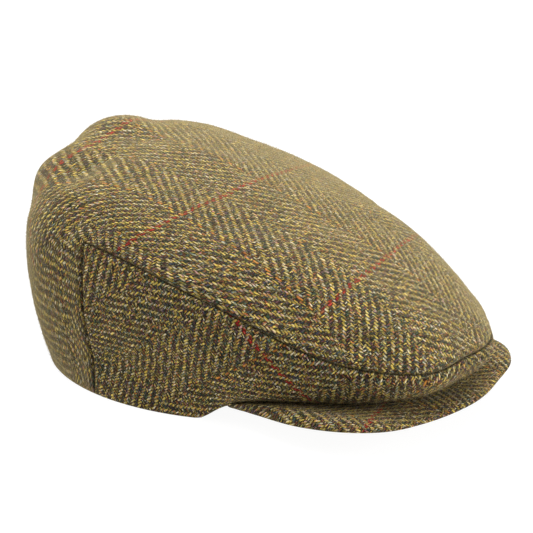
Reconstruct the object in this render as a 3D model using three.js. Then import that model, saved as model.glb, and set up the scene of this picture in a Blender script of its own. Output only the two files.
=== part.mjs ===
// Flat cap of herringbone tweed, resting on its hem with its peak towards -Y.
// Lengths are millimetres and +Z is up. The crown is hollow and open below.
//
// The crown is drawn as sections that fan out from its summit. A section is a smooth curve through
// the hem, the tuck under the roll, the belly, the seam, two rings of the top and the summit.
// Its turn is 0 at the front and 180 at the back, and is positive towards +X.

import * as THREE from 'three';

// Crown

const CROWN_WIDTH = 196;
const CROWN_HEIGHT = 117;
const FRONT_REACH = 191; // from the summit forward to the roll
const BACK_REACH = 67; // from the summit back to the belly
const CLOTH_THICKNESS = 2.4; // tweed with its backing

// Head opening, an ellipse

const OPENING_WIDTH = 170;
const OPENING_LENGTH = 202;
const OPENING_TO_SUMMIT = 34; // from the centre of the opening back to the summit

// Peak

const PEAK_DEPTH = 61; // from the hem to the edge, at the middle
const PEAK_THICKNESS = 6.5;
const PEAK_EDGE_HEIGHT = 12.5; // middle of the edge above the ground
const PEAK_SWELL = 2.5; // how far the padding swells at the sides of the peak
const PEAK_TIP_TURN = 50; // degrees each side of the middle, round the opening's centre

// Joins

const REAR_SEAM_TURN = 85;
const SEAM_GAP = 0.3;
const PEAK_SEAT_GAP = 0.6;

// Each ring of a section is [reach, height]: reach is a share of the way from the summit to the
// crown's outline in plan, and height is a share of CROWN_HEIGHT.
const SECTIONS = [
  {
    turn: 0, tuck: [0.92, 0.15], belly: [0.99, 0.21], seam: [1.0, 0.31],
    outerTop: [0.82, 0.58], innerTop: [0.44, 0.84],
  },
  {
    turn: 20, tuck: [0.95, 0.155], belly: [1.02, 0.22], seam: [1.03, 0.31],
    outerTop: [0.83, 0.6], innerTop: [0.44, 0.85],
  },
  {
    turn: 40, tuck: [0.95, 0.155], belly: [1.01, 0.26], seam: [1.02, 0.38],
    outerTop: [0.83, 0.66], innerTop: [0.44, 0.87],
  },
  {
    turn: 60, tuck: [0.92, 0.15], belly: [0.98, 0.34], seam: [0.98, 0.57],
    outerTop: [0.79, 0.75], innerTop: [0.43, 0.91],
  },
  {
    turn: 84, tuck: [0.87, 0.18], belly: [0.95, 0.42], seam: [0.92, 0.73],
    outerTop: [0.75, 0.88], innerTop: [0.4, 0.97],
  },
  {
    turn: 105, tuck: [0.88, 0.18], belly: [0.945, 0.42], seam: [0.94, 0.74],
    outerTop: [0.76, 0.92], innerTop: [0.4, 0.99],
  },
  {
    turn: 135, tuck: [0.895, 0.18], belly: [0.955, 0.41], seam: [0.94, 0.73],
    outerTop: [0.79, 0.94], innerTop: [0.42, 1.0],
  },
  {
    turn: 180, tuck: [0.97, 0.18], belly: [1.0, 0.4], seam: [0.94, 0.72],
    outerTop: [0.79, 0.95], innerTop: [0.44, 1.0],
  },
];
const RINGS = ['hem', 'tuck', 'belly', 'seam', 'outerTop', 'innerTop', 'summit'];
const SEAM_RING = RINGS.indexOf('seam');
const SUMMIT_RING = RINGS.indexOf('summit');

// The hem stands on the ground at the sides and back and rises over the peak.
// Heights are shares of CROWN_HEIGHT.
const HEM_RISE = [
  { turn: 0, height: 0.145 },
  { turn: 20, height: 0.14 },
  { turn: 38, height: 0.12 },
  { turn: 50, height: 0.09 },
  { turn: 57, height: 0.06 },
  { turn: 62, height: 0 },
  { turn: 72, height: 0 },
  { turn: 180, height: 0 },
];

// Soft dents and swells of the cloth: turn and ring place the middle, spreadTurn and spreadRing
// are how far it spreads, and push is a share of CROWN_HEIGHT, outward when positive.
const DENTS = [
  { turn: -141, ring: 3.65, spreadTurn: 9, spreadRing: 0.4, push: 0.032 },
  { turn: -160, ring: 4.2, spreadTurn: 9, spreadRing: 0.35, push: -0.016 },
  { turn: -112, ring: 4.4, spreadTurn: 16, spreadRing: 0.6, push: -0.043 },
  { turn: 180, ring: 4.6, spreadTurn: 26, spreadRing: 0.8, push: 0.065 },
  { turn: 150, ring: 4.5, spreadTurn: 9, spreadRing: 0.5, push: -0.016 },
  { turn: 98, ring: 4.2, spreadTurn: 30, spreadRing: 0.7, push: -0.04 },
  { turn: 57, ring: 3.55, spreadTurn: 10, spreadRing: 0.4, push: -0.026 },
];

// Outline of the peak: turn round the opening's centre, depth as a share of PEAK_DEPTH, height of
// the edge as a share of PEAK_EDGE_HEIGHT, thickness as a share of PEAK_THICKNESS and how far it
// swells upward between root and edge as a share of PEAK_SWELL.
const PEAK_OUTLINE = [
  { turn: 0, depth: 1.0, height: 1.0, thickness: 1.0, swell: 0 },
  { turn: 13, depth: 0.97, height: 0.94, thickness: 1.0, swell: 0.1 },
  { turn: 22, depth: 1.01, height: 1.12, thickness: 1.0, swell: 0.2 },
  { turn: 29, depth: 0.925, height: 1.2, thickness: 1.0, swell: 0.5 },
  { turn: 36, depth: 0.65, height: 1.06, thickness: 0.95, swell: 1.0 },
  { turn: 43, depth: 0.3, height: 0.91, thickness: 0.75, swell: 0.7 },
  { turn: PEAK_TIP_TURN, depth: 0.07, height: 0.74, thickness: 0.3, swell: 0.15 },
];
const PEAK_SWELL_AT = 0.67; // share of the depth where the swell is highest
const PEAK_ROUND_FROM = 0.7; // share of the depth at which its padding begins to round over

// Mesh steps

const FRONT_COLUMNS = 20; // from the middle of the front to a rear seam
const BACK_COLUMNS = 20; // from a rear seam to the middle of the back
const RING_STEPS = [2, 3, 3, 4, 3, 3]; // between neighbouring rings
const PEAK_COLUMNS = 20; // from the middle to a tip
const PEAK_ROWS = [0, 0.25, 0.5, 0.7, 0.82, 0.91, 0.97]; // shares of the depth, from the root
const SMALL_STEP = 0.01; // for slopes along the surface

const rad = THREE.MathUtils.degToRad;

// Smooth curve through a table's rows, level at both ends. The turn is taken without its sign.
function along(table, read, turn) {
  const last = table.length - 1;
  const key = (i) => {
    if (i < 0) return 2 * table[0].turn - table[-i].turn;
    if (i > last) return 2 * table[last].turn - table[2 * last - i].turn;
    return table[i].turn;
  };
  const value = (i) => read(table[i < 0 ? -i : i > last ? 2 * last - i : i]);
  const slope = (i) => {
    const before = key(i) - key(i - 1);
    const after = key(i + 1) - key(i);
    const rise = (value(i + 1) - value(i)) / after;
    const fall = (value(i) - value(i - 1)) / before;
    return (rise * before + fall * after) / (before + after);
  };
  const at = Math.min(Math.abs(turn), table[last].turn);
  let i = 0;
  while (i < last - 1 && table[i + 1].turn <= at) i++;
  const width = key(i + 1) - key(i);
  const t = (at - key(i)) / width;
  const t2 = t * t;
  const t3 = t2 * t;
  return (
    (2 * t3 - 3 * t2 + 1) * value(i) +
    (t3 - 2 * t2 + t) * width * slope(i) +
    (3 * t2 - 2 * t3) * value(i + 1) +
    (t3 - t2) * width * slope(i + 1)
  );
}

// Half axes of the crown's outline at a turn: it is longer in front of the summit.
const reachBeyond = (turn) => (Math.cos(rad(turn)) > 0 ? FRONT_REACH : BACK_REACH);

// Share of the outline at which the head opening's ellipse is met.
function openingShare(turn) {
  const x = ((CROWN_WIDTH / 2) * Math.sin(rad(turn))) / (OPENING_WIDTH / 2);
  const y = (-reachBeyond(turn) * Math.cos(rad(turn))) / (OPENING_LENGTH / 2);
  const shift = OPENING_TO_SUMMIT / (OPENING_LENGTH / 2);
  const a = x * x + y * y;
  const b = 2 * shift * y;
  return (-b + Math.sqrt(b * b - 4 * a * (shift * shift - 1))) / (2 * a);
}

const hemHeight = (turn) => Math.max(0, along(HEM_RISE, (row) => row.height, turn)) * CROWN_HEIGHT;

// Knots of one section, as reach in millimetres across CROWN_WIDTH and height in millimetres.
function knotsOf(turn) {
  const half = CROWN_WIDTH / 2;
  return RINGS.map((ring) => {
    if (ring === 'hem') return new THREE.Vector2(openingShare(turn) * half, hemHeight(turn));
    if (ring === 'summit') return new THREE.Vector2(0, CROWN_HEIGHT);
    const reach = along(SECTIONS, (row) => row[ring][0], turn);
    const height = along(SECTIONS, (row) => row[ring][1], turn);
    return new THREE.Vector2(reach * half, height * CROWN_HEIGHT);
  });
}

// Point of a section between knots, on a centripetal Catmull-Rom curve.
function sectionPoint(knots, ring) {
  const last = knots.length - 1;
  const below = knots[0].clone().multiplyScalar(2).sub(knots[1]);
  const beyond = new THREE.Vector2(-knots[last - 1].x, knots[last - 1].y);
  const i = Math.min(Math.floor(ring), last - 1);
  const p = [knots[i - 1] ?? below, knots[i], knots[i + 1], knots[i + 2] ?? beyond];
  const t = [0];
  for (let k = 0; k < 3; k++) t.push(t[k] + Math.sqrt(p[k].distanceTo(p[k + 1])));
  const at = t[1] + (t[2] - t[1]) * (ring - i);
  const mix = (a, b, ta, tb) => a.clone().lerp(b, (at - ta) / (tb - ta));
  const a = [0, 1, 2].map((k) => mix(p[k], p[k + 1], t[k], t[k + 1]));
  const b = [0, 1].map((k) => mix(a[k], a[k + 1], t[k], t[k + 2]));
  return mix(b[0], b[1], t[1], t[2]);
}

// Crown's surface before its dents, with the summit above the origin.
function plainSurface(turn, ring) {
  const point = sectionPoint(knotsOf(turn), ring);
  const share = point.x / (CROWN_WIDTH / 2);
  return new THREE.Vector3(
    point.x * Math.sin(rad(turn)),
    -reachBeyond(turn) * share * Math.cos(rad(turn)),
    point.y,
  );
}

function outward(surface, turn, ring) {
  const low = Math.max(0, ring - SMALL_STEP);
  const high = Math.min(SUMMIT_RING - SMALL_STEP, ring + SMALL_STEP);
  const middle = Math.min(ring, SUMMIT_RING - SMALL_STEP);
  const across = surface(turn + SMALL_STEP, middle).sub(surface(turn - SMALL_STEP, middle));
  const up = surface(turn, high).sub(surface(turn, low));
  return across.cross(up).normalize();
}

function dentAt(turn, ring) {
  let push = 0;
  for (const dent of DENTS) {
    const away = ((((turn - dent.turn + 180) % 360) + 360) % 360) - 180;
    const fade = (away / dent.spreadTurn) ** 2 + ((ring - dent.ring) / dent.spreadRing) ** 2;
    push += dent.push * CROWN_HEIGHT * Math.exp(-fade);
  }
  return push;
}

function crownSurface(turn, ring) {
  const push = ring > SUMMIT_RING - SMALL_STEP ? 0 : dentAt(turn, ring);
  return plainSurface(turn, ring).addScaledVector(outward(plainSurface, turn, ring), push);
}

// Inner side of the cloth. Where the hem stands on the ground, its edge is cut level.
function crownLining(turn, ring) {
  const outer = crownSurface(turn, ring);
  if (ring >= SUMMIT_RING) return outer.setZ(outer.z - CLOTH_THICKNESS);
  const normal = outward(crownSurface, turn, ring);
  if (ring === 0) {
    normal.z *= Math.min(1, outer.z / CLOTH_THICKNESS);
    normal.normalize();
  }
  return outer.addScaledVector(normal, -CLOTH_THICKNESS);
}

function meshOf(name, positions, indices, look) {
  const geometry = new THREE.BufferGeometry();
  geometry.setAttribute('position', new THREE.Float32BufferAttribute(positions, 3));
  geometry.setIndex(indices);
  geometry.computeVertexNormals();
  const mesh = new THREE.Mesh(geometry, new THREE.MeshStandardMaterial(look));
  mesh.name = name;
  return mesh;
}

// Closed body of cloth from quads and triangles over (turn, ring) corners, which run
// anticlockwise seen from outside.
function clothPiece(name, faces, look) {
  const corners = new Map();
  const outer = [];
  const inner = [];
  const indexOf = ([turn, ring]) => {
    const key = ring >= SUMMIT_RING ? 'summit' : `${turn.toFixed(4)} ${ring.toFixed(4)}`;
    if (!corners.has(key)) {
      corners.set(key, corners.size);
      outer.push(...crownSurface(turn, ring).toArray());
      inner.push(...crownLining(turn, ring).toArray());
    }
    return corners.get(key);
  };
  const triangles = [];
  for (const face of faces) {
    const ids = face.map(indexOf).filter((id, i, all) => all.indexOf(id) === i);
    for (let i = 1; i + 1 < ids.length; i++) triangles.push([ids[0], ids[i], ids[i + 1]]);
  }
  const count = corners.size;
  const indices = [];
  const edges = new Set();
  for (const [a, b, c] of triangles) {
    indices.push(a, b, c, count + c, count + b, count + a);
    for (const edge of [[a, b], [b, c], [c, a]]) edges.add(edge.join(' '));
  }
  for (const edge of edges) {
    const [a, b] = edge.split(' ').map(Number);
    if (edges.has(`${b} ${a}`)) continue;
    indices.push(b, a, count + a, b, count + a, count + b);
  }
  return meshOf(name, [...outer, ...inner], indices, look);
}

// Half a seam gap, as a step of ring or of turn at that place.
function gapInRing(turn, ring) {
  const speed = plainSurface(turn, ring + SMALL_STEP).distanceTo(plainSurface(turn, ring - SMALL_STEP));
  return (SEAM_GAP / 2) * ((2 * SMALL_STEP) / speed);
}
function gapInTurn(turn, ring) {
  const speed = plainSurface(turn + SMALL_STEP, ring).distanceTo(plainSurface(turn - SMALL_STEP, ring));
  return (SEAM_GAP / 2) * ((2 * SMALL_STEP) / speed);
}

function steps(from, to, count) {
  return Array.from({ length: count + 1 }, (_, i) => from + ((to - from) * i) / count);
}

const lowerRings = [0];
const upperRings = [SEAM_RING];
RING_STEPS.forEach((count, i) => {
  (i < SEAM_RING ? lowerRings : upperRings).push(...steps(i, i + 1, count).slice(1));
});

const allRings = [...lowerRings, ...upperRings.slice(1)];

// Quads between neighbouring columns and rings of a grid, whose corners place() may shift.
function grid(turns, rings, place) {
  const faces = [];
  for (let i = 0; i + 1 < turns.length; i++) {
    for (let j = 0; j + 1 < rings.length; j++) {
      faces.push([
        place(turns[i], rings[j]),
        place(turns[i + 1], rings[j]),
        place(turns[i + 1], rings[j + 1]),
        place(turns[i], rings[j + 1]),
      ]);
    }
  }
  return faces;
}

const tweed = { color: 0x7d6d4b, roughness: 0.95, metalness: 0 };
const shadedTweed = { color: 0x6b5e3d, roughness: 0.95, metalness: 0 };

// Top panel: the whole top, and the back down to the hem between the rear seams.
const frontTurns = steps(-REAR_SEAM_TURN, REAR_SEAM_TURN, 2 * FRONT_COLUMNS);
const backTurns = steps(REAR_SEAM_TURN, 360 - REAR_SEAM_TURN, 2 * BACK_COLUMNS);

function placeFront(turn, ring) {
  return [turn, ring === SEAM_RING ? ring + gapInRing(turn, ring) : ring];
}
function placeBack(turn, ring) {
  const wrapped = turn > 180 ? turn - 360 : turn;
  const atSeam = Math.abs(Math.abs(wrapped) - REAR_SEAM_TURN) < SMALL_STEP;
  if (!atSeam || ring > SEAM_RING) return [wrapped, ring];
  if (ring === SEAM_RING) return placeFront(wrapped, ring);
  return [wrapped + Math.sign(wrapped) * gapInTurn(wrapped, ring), ring];
}

const topPanel = clothPiece(
  'top_panel',
  [...grid(frontTurns, upperRings, placeFront), ...grid(backTurns, allRings, placeBack)],
  tweed,
);

// Side panels: from the rear seam round to the middle of the front, below the long seam.
function sidePanel(name, side) {
  const [from, to] = side > 0 ? [0, REAR_SEAM_TURN] : [-REAR_SEAM_TURN, 0];
  const place = (turn, ring) => {
    const below = ring === SEAM_RING ? ring - gapInRing(turn, ring) : ring;
    const inward = turn === from ? 1 : turn === to ? -1 : 0;
    return [turn + inward * gapInTurn(turn, below), below];
  };
  return clothPiece(name, grid(steps(from, to, FRONT_COLUMNS), lowerRings, place), shadedTweed);
}

// Swell of the peak from its root to its edge, 1 where it is highest.
function swellShape(share) {
  const power = PEAK_SWELL_AT / (1 - PEAK_SWELL_AT);
  return (share ** power * (1 - share)) / (PEAK_SWELL_AT ** power * (1 - PEAK_SWELL_AT));
}

// Peak: a stiff padded crescent sewn under the hem, drawn as rays from the opening's centre.
function peak(name) {
  const loopAt = (turn) => {
    const sine = Math.sin(rad(turn));
    const cosine = Math.cos(rad(turn));
    const root = 1 / Math.hypot(sine / (OPENING_WIDTH / 2), cosine / (OPENING_LENGTH / 2));
    const depth = along(PEAK_OUTLINE, (row) => row.depth, turn) * PEAK_DEPTH;
    const edgeHeight = along(PEAK_OUTLINE, (row) => row.height, turn) * PEAK_EDGE_HEIGHT;
    const halfThickness = (along(PEAK_OUTLINE, (row) => row.thickness, turn) * PEAK_THICKNESS) / 2;
    const swell = along(PEAK_OUTLINE, (row) => row.swell, turn) * PEAK_SWELL;
    const crownTurn = THREE.MathUtils.radToDeg(
      Math.atan2((root * sine) / (CROWN_WIDTH / 2), (OPENING_TO_SUMMIT + root * cosine) / FRONT_REACH),
    );
    const rootHeight = hemHeight(crownTurn) - PEAK_SEAT_GAP - halfThickness;
    const point = (share, side) => {
      const past = Math.max(0, (share - PEAK_ROUND_FROM) / (1 - PEAK_ROUND_FROM));
      const half = halfThickness * Math.sqrt(Math.max(0, 1 - past ** 2));
      const slope = rootHeight + (edgeHeight - rootHeight) * share;
      const middle = slope + swell * swellShape(share);
      const reach = root + depth * share;
      return [reach * sine, -OPENING_TO_SUMMIT - reach * cosine, middle + side * half];
    };
    const top = PEAK_ROWS.map((share) => point(share, 1));
    const under = PEAK_ROWS.map((share) => point(share, -1)).reverse();
    return [...top, point(1, 0), ...under];
  };
  const turns = steps(-PEAK_TIP_TURN, PEAK_TIP_TURN, 2 * PEAK_COLUMNS);
  const loops = turns.map(loopAt);
  const size = loops[0].length;
  const indices = [];
  for (let i = 0; i + 1 < loops.length; i++) {
    for (let j = 0; j < size; j++) {
      const a = i * size + j;
      const b = i * size + ((j + 1) % size);
      indices.push(a, b, b + size, a, b + size, a + size);
    }
  }
  const end = (loops.length - 1) * size;
  const flat = loops[0].map(([x, , z]) => new THREE.Vector2(x, z));
  for (const [a, b, c] of THREE.ShapeUtils.triangulateShape(flat, [])) {
    indices.push(a, c, b, end + a, end + b, end + c);
  }
  return meshOf(name, loops.flat(2), indices, shadedTweed);
}

const cap = new THREE.Group();
cap.add(topPanel, sidePanel('side_panel_right', -1), sidePanel('side_panel_left', 1), peak('peak'));

// The origin goes to the middle of the cap's outline, on the ground.
const box = new THREE.Box3().setFromObject(cap);
const middle = box.getCenter(new THREE.Vector3());
cap.position.set(-middle.x, -middle.y, -box.min.z);
cap.updateMatrixWorld(true);

export default cap;
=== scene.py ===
"""Flat cap of herringbone tweed with an overcheck, resting on its hem.

Metres, +Z up, peak towards -Y. The crown is drawn as sections that fan out from its summit:
turn is 0 at the front and 180 at the back, positive towards +X, and ring runs from the hem (0)
over the tuck, belly, seam, outer top and inner top to the summit (6).
"""
import math
from types import SimpleNamespace

import bpy
import numpy as np
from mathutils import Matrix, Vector


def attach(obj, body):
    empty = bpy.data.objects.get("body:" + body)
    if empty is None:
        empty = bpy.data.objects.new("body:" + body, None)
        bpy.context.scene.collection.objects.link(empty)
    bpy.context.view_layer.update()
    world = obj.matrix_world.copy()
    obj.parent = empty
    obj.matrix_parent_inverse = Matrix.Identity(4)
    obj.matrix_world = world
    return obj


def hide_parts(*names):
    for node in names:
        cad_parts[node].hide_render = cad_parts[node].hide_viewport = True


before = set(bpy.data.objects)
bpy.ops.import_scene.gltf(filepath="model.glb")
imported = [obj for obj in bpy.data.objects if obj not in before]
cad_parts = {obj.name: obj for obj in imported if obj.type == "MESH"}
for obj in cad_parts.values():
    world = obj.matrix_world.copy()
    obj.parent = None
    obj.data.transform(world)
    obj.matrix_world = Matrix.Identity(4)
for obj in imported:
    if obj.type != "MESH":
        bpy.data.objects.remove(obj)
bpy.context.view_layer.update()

MM = 0.001

# Crown, as in the part's source
CROWN_WIDTH = 196 * MM
CROWN_HEIGHT = 117 * MM
FRONT_REACH = 191 * MM  # from the summit forward to the roll
BACK_REACH = 67 * MM  # from the summit back to the belly
CLOTH_THICKNESS = 2.4 * MM
SUMMIT_Y = 64.5 * MM  # the summit's place in the shared frame

# Head opening
OPENING_WIDTH = 170 * MM
OPENING_LENGTH = 202 * MM
OPENING_TO_SUMMIT = 34 * MM

# Peak
PEAK_DEPTH = 61 * MM
PEAK_THICKNESS = 6.5 * MM
PEAK_EDGE_HEIGHT = 12.5 * MM
PEAK_TIP_TURN = 50  # degrees each side of the middle, round the opening's centre
PEAK_SEAT_GAP = 0.6 * MM
PEAK_SWELL = 2.5 * MM
PEAK_SWELL_AT = 0.67  # of the depth
PEAK_ROUND_FROM = 0.7  # of the depth
PEAK_END_TURN = 45  # from here its ends round over to the tips
PEAK_END_TAPER = 0.98
PEAK_LIP = 0.07  # of the depth, sewn up inside the hem
PEAK_LIP_BEND = 0.045  # of the depth, from here the lip rises
PEAK_LIP_RISE = 5 * MM

# Panels
REAR_SEAM_TURN = 85
SEAM_RING = 3
SUMMIT_RING = 6

# Sections of the crown: turn, then reach and height of the tuck, belly, seam, outer top and
# inner top, as shares of the outline and of CROWN_HEIGHT
SECTIONS = np.array([
    (0, 0.92, 0.15, 0.99, 0.21, 1.00, 0.31, 0.82, 0.58, 0.44, 0.84),
    (20, 0.95, 0.155, 1.02, 0.22, 1.03, 0.31, 0.83, 0.60, 0.44, 0.85),
    (40, 0.95, 0.155, 1.01, 0.26, 1.02, 0.38, 0.83, 0.66, 0.44, 0.87),
    (60, 0.92, 0.15, 0.98, 0.34, 0.98, 0.57, 0.79, 0.75, 0.43, 0.91),
    (84, 0.87, 0.18, 0.95, 0.42, 0.92, 0.73, 0.75, 0.88, 0.40, 0.97),
    (105, 0.88, 0.18, 0.945, 0.42, 0.94, 0.74, 0.76, 0.92, 0.40, 0.99),
    (135, 0.895, 0.18, 0.955, 0.41, 0.94, 0.73, 0.79, 0.94, 0.42, 1.00),
    (180, 0.97, 0.18, 1.00, 0.40, 0.94, 0.72, 0.79, 0.95, 0.44, 1.00),
])
# Hem: turn, and height as a share of CROWN_HEIGHT
HEM_RISE = np.array([
    (0, 0.145), (20, 0.14), (38, 0.12), (50, 0.09), (57, 0.06), (62, 0), (72, 0), (180, 0),
])
# Soft dents and swells: turn, ring, spread in turn, spread in ring, and push outward as a share
# of CROWN_HEIGHT
DENTS = np.array([
    (-141, 3.65, 9, 0.4, 0.032),
    (-160, 4.2, 9, 0.35, -0.016),
    (-112, 4.4, 16, 0.6, -0.043),
    (180, 4.6, 26, 0.8, 0.065),
    (150, 4.5, 9, 0.5, -0.016),
    (98, 4.2, 30, 0.7, -0.040),
    (57, 3.55, 10, 0.4, -0.026),
])
# Peak: turn round the opening's centre, then depth, height of the edge, thickness and swell as
# shares of the peak's own sizes
PEAK_OUTLINE = np.array([
    (0, 1.0, 1.0, 1.0, 0), (13, 0.97, 0.94, 1.0, 0.1), (22, 1.01, 1.12, 1.0, 0.2),
    (29, 0.925, 1.2, 1.0, 0.5), (36, 0.65, 1.06, 0.95, 1.0), (43, 0.3, 0.91, 0.75, 0.7),
    (PEAK_TIP_TURN, 0.07, 0.74, 0.3, 0.15),
])


# Crown's surface

SLOPE_STEP = 0.02  # of a turn or a ring
SUMMIT_FADE = 0.2  # rings under the summit over which the dents fade out


def table_curve(table, column, turn):
    """Smooth curve through a column of a table, level at both ends and even in the turn."""
    rows, values = table[:, 0], table[:, column]
    keys = np.concatenate([[2 * rows[0] - rows[1]], rows, [2 * rows[-1] - rows[-2]]])
    mirrored = np.concatenate([[values[1]], values, [values[-2]]])
    gaps = np.diff(keys)
    rates = np.diff(mirrored) / gaps
    slopes = (rates[1:] * gaps[:-1] + rates[:-1] * gaps[1:]) / (gaps[:-1] + gaps[1:])
    at = np.minimum(np.abs((turn + 180) % 360 - 180), rows[-1])
    i = np.clip(np.searchsorted(rows, at, side="right") - 1, 0, len(rows) - 2)
    width = rows[i + 1] - rows[i]
    t = (at - rows[i]) / width
    return (
        (2 * t**3 - 3 * t**2 + 1) * values[i] + (t**3 - 2 * t**2 + t) * width * slopes[i]
        + (3 * t**2 - 2 * t**3) * values[i + 1] + (t**3 - t**2) * width * slopes[i + 1]
    )


def outline_reach(turn):
    """Half axis of the crown's outline: it is longer in front of the summit."""
    return np.where(np.cos(np.radians(turn)) > 0, FRONT_REACH, BACK_REACH)


def opening_share(turn):
    """Share of the outline at which the head opening's ellipse is met."""
    x = CROWN_WIDTH * np.sin(np.radians(turn)) / OPENING_WIDTH
    y = -2 * outline_reach(turn) * np.cos(np.radians(turn)) / OPENING_LENGTH
    shift = 2 * OPENING_TO_SUMMIT / OPENING_LENGTH
    a, b = x * x + y * y, 2 * shift * y
    return (-b + np.sqrt(b * b - 4 * a * (shift * shift - 1))) / (2 * a)


def hem_height(turn):
    return np.maximum(0, table_curve(HEM_RISE, 1, turn)) * CROWN_HEIGHT


def section_knots(turn):
    """Reach and height of a section's knots, with one more beyond each end."""
    half = CROWN_WIDTH / 2
    knots = [np.stack([opening_share(turn) * half, hem_height(turn)], -1)]
    for k in range(1, SUMMIT_RING):
        reach = table_curve(SECTIONS, 2 * k - 1, turn) * half
        height = table_curve(SECTIONS, 2 * k, turn) * CROWN_HEIGHT
        knots.append(np.stack([reach, height], -1))
    knots.append(np.stack([0 * turn, 0 * turn + CROWN_HEIGHT], -1))
    knots = [2 * knots[0] - knots[1]] + knots + [knots[-2] * (-1, 1)]
    return np.stack(knots, 1)


def section_point(turn, ring):
    """Reach and height on the centripetal curve through a section's knots."""
    knots = section_knots(turn)
    i = np.clip(np.floor(ring).astype(int), 0, SUMMIT_RING - 1)
    n = np.arange(len(turn))
    p = [knots[n, i + k] for k in range(4)]
    t = [np.zeros(len(turn))]
    for k in range(3):
        t.append(t[k] + np.sqrt(np.linalg.norm(p[k + 1] - p[k], axis=1)))
    at = t[1] + (t[2] - t[1]) * (ring - i)

    def mix(a, b, ta, tb):
        return a + (b - a) * ((at - ta) / (tb - ta))[:, None]

    a = [mix(p[k], p[k + 1], t[k], t[k + 1]) for k in range(3)]
    b = [mix(a[k], a[k + 1], t[k], t[k + 2]) for k in range(2)]
    return mix(b[0], b[1], t[1], t[2])


def plain_surface(turn, ring):
    """Crown's outer side before its dents."""
    point = section_point(turn, ring)
    share = point[:, 0] / (CROWN_WIDTH / 2)
    angle = np.radians(turn)
    return np.stack([
        point[:, 0] * np.sin(angle),
        SUMMIT_Y - outline_reach(turn) * share * np.cos(angle),
        point[:, 1],
    ], -1)


def outward(surface, turn, ring):
    """Direction that points away from the cloth's outer side."""
    middle = np.minimum(ring, SUMMIT_RING - 2 * SLOPE_STEP)
    across = surface(turn + SLOPE_STEP, middle) - surface(turn - SLOPE_STEP, middle)
    up = surface(turn, middle + SLOPE_STEP) - surface(turn, np.maximum(middle - SLOPE_STEP, 0))
    normal = np.cross(across, up)
    return normal / np.linalg.norm(normal, axis=1, keepdims=True)


def dents(turn, ring):
    push = np.zeros(len(turn))
    for at, height, wide, high, depth in DENTS:
        away = (turn - at + 180) % 360 - 180
        push += depth * CROWN_HEIGHT * np.exp(-(away / wide) ** 2 - ((ring - height) / high) ** 2)
    return push


def crown_surface(turn, ring):
    """Crown's outer side with its dents, as in the solids."""
    turn, ring = np.asarray(turn, float), np.asarray(ring, float)
    fade = np.clip((SUMMIT_RING - ring) / SUMMIT_FADE, 0, 1)
    push = dents(turn, ring) * fade
    return plain_surface(turn, ring) + outward(plain_surface, turn, ring) * push[:, None]


# Laying the cloth flat

FLAT_ROUNDS = 60
WEIGHT_RANGE = (0.05, 20)
LEAST_AREA = 1e-12
TINY = 1e-9


def flat_sides(points, triangles):
    """Each side of each triangle laid flat, with its corners and its weight."""
    a, b, c = (points[triangles[:, k]] for k in range(3))
    ab, ac = b - a, c - a
    length = np.linalg.norm(ab, axis=1)
    x = (ac * ab).sum(1) / length
    y = np.linalg.norm(np.cross(ab, ac), axis=1) / length
    zero = np.zeros(len(length))
    flat = np.stack([
        np.stack([zero, zero], -1), np.stack([length, zero], -1), np.stack([x, y], -1),
    ], 1)
    sides = []
    for k in range(3):
        i, j, o = k, (k + 1) % 3, (k + 2) % 3
        u, v = flat[:, i] - flat[:, o], flat[:, j] - flat[:, o]
        cross = np.abs(u[:, 0] * v[:, 1] - u[:, 1] * v[:, 0])
        weight = np.clip((u * v).sum(1) / np.maximum(cross, LEAST_AREA), *WEIGHT_RANGE)
        sides.append((triangles[:, i], triangles[:, j], flat[:, i] - flat[:, j], weight))
    return sides


def lay_flat(points, triangles, start):
    """Plan of a curved panel with as little stretch as it can have."""
    count = len(points)
    sides = flat_sides(points, triangles)
    matrix = np.zeros((count, count))
    for i, j, _, weight in sides:
        for p, q, sign in ((i, i, 1), (j, j, 1), (i, j, -1), (j, i, -1)):
            np.add.at(matrix, (p, q), sign * weight)
    # the first point stays where it is
    matrix[0, :] = 0
    matrix[0, 0] = 1
    inverse = np.linalg.inv(matrix)
    plan = start.copy()
    for _ in range(FLAT_ROUNDS):
        # each flat triangle turns to suit the plan, and then the plan follows the triangles
        turned = np.zeros((len(triangles), 2, 2))
        for i, j, side, weight in sides:
            now = plan[i] - plan[j]
            turned += weight[:, None, None] * now[:, :, None] * side[:, None, :]
        angle = np.arctan2(turned[:, 1, 0] - turned[:, 0, 1], turned[:, 0, 0] + turned[:, 1, 1])
        cos, sin = np.cos(angle), np.sin(angle)
        right = np.zeros((count, 2))
        for i, j, side, weight in sides:
            moved = np.stack([
                cos * side[:, 0] - sin * side[:, 1], sin * side[:, 0] + cos * side[:, 1],
            ], -1) * weight[:, None]
            np.add.at(right, i, moved)
            np.add.at(right, j, -moved)
        right[0] = plan[0]
        plan = inverse @ right
    return plan


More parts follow.
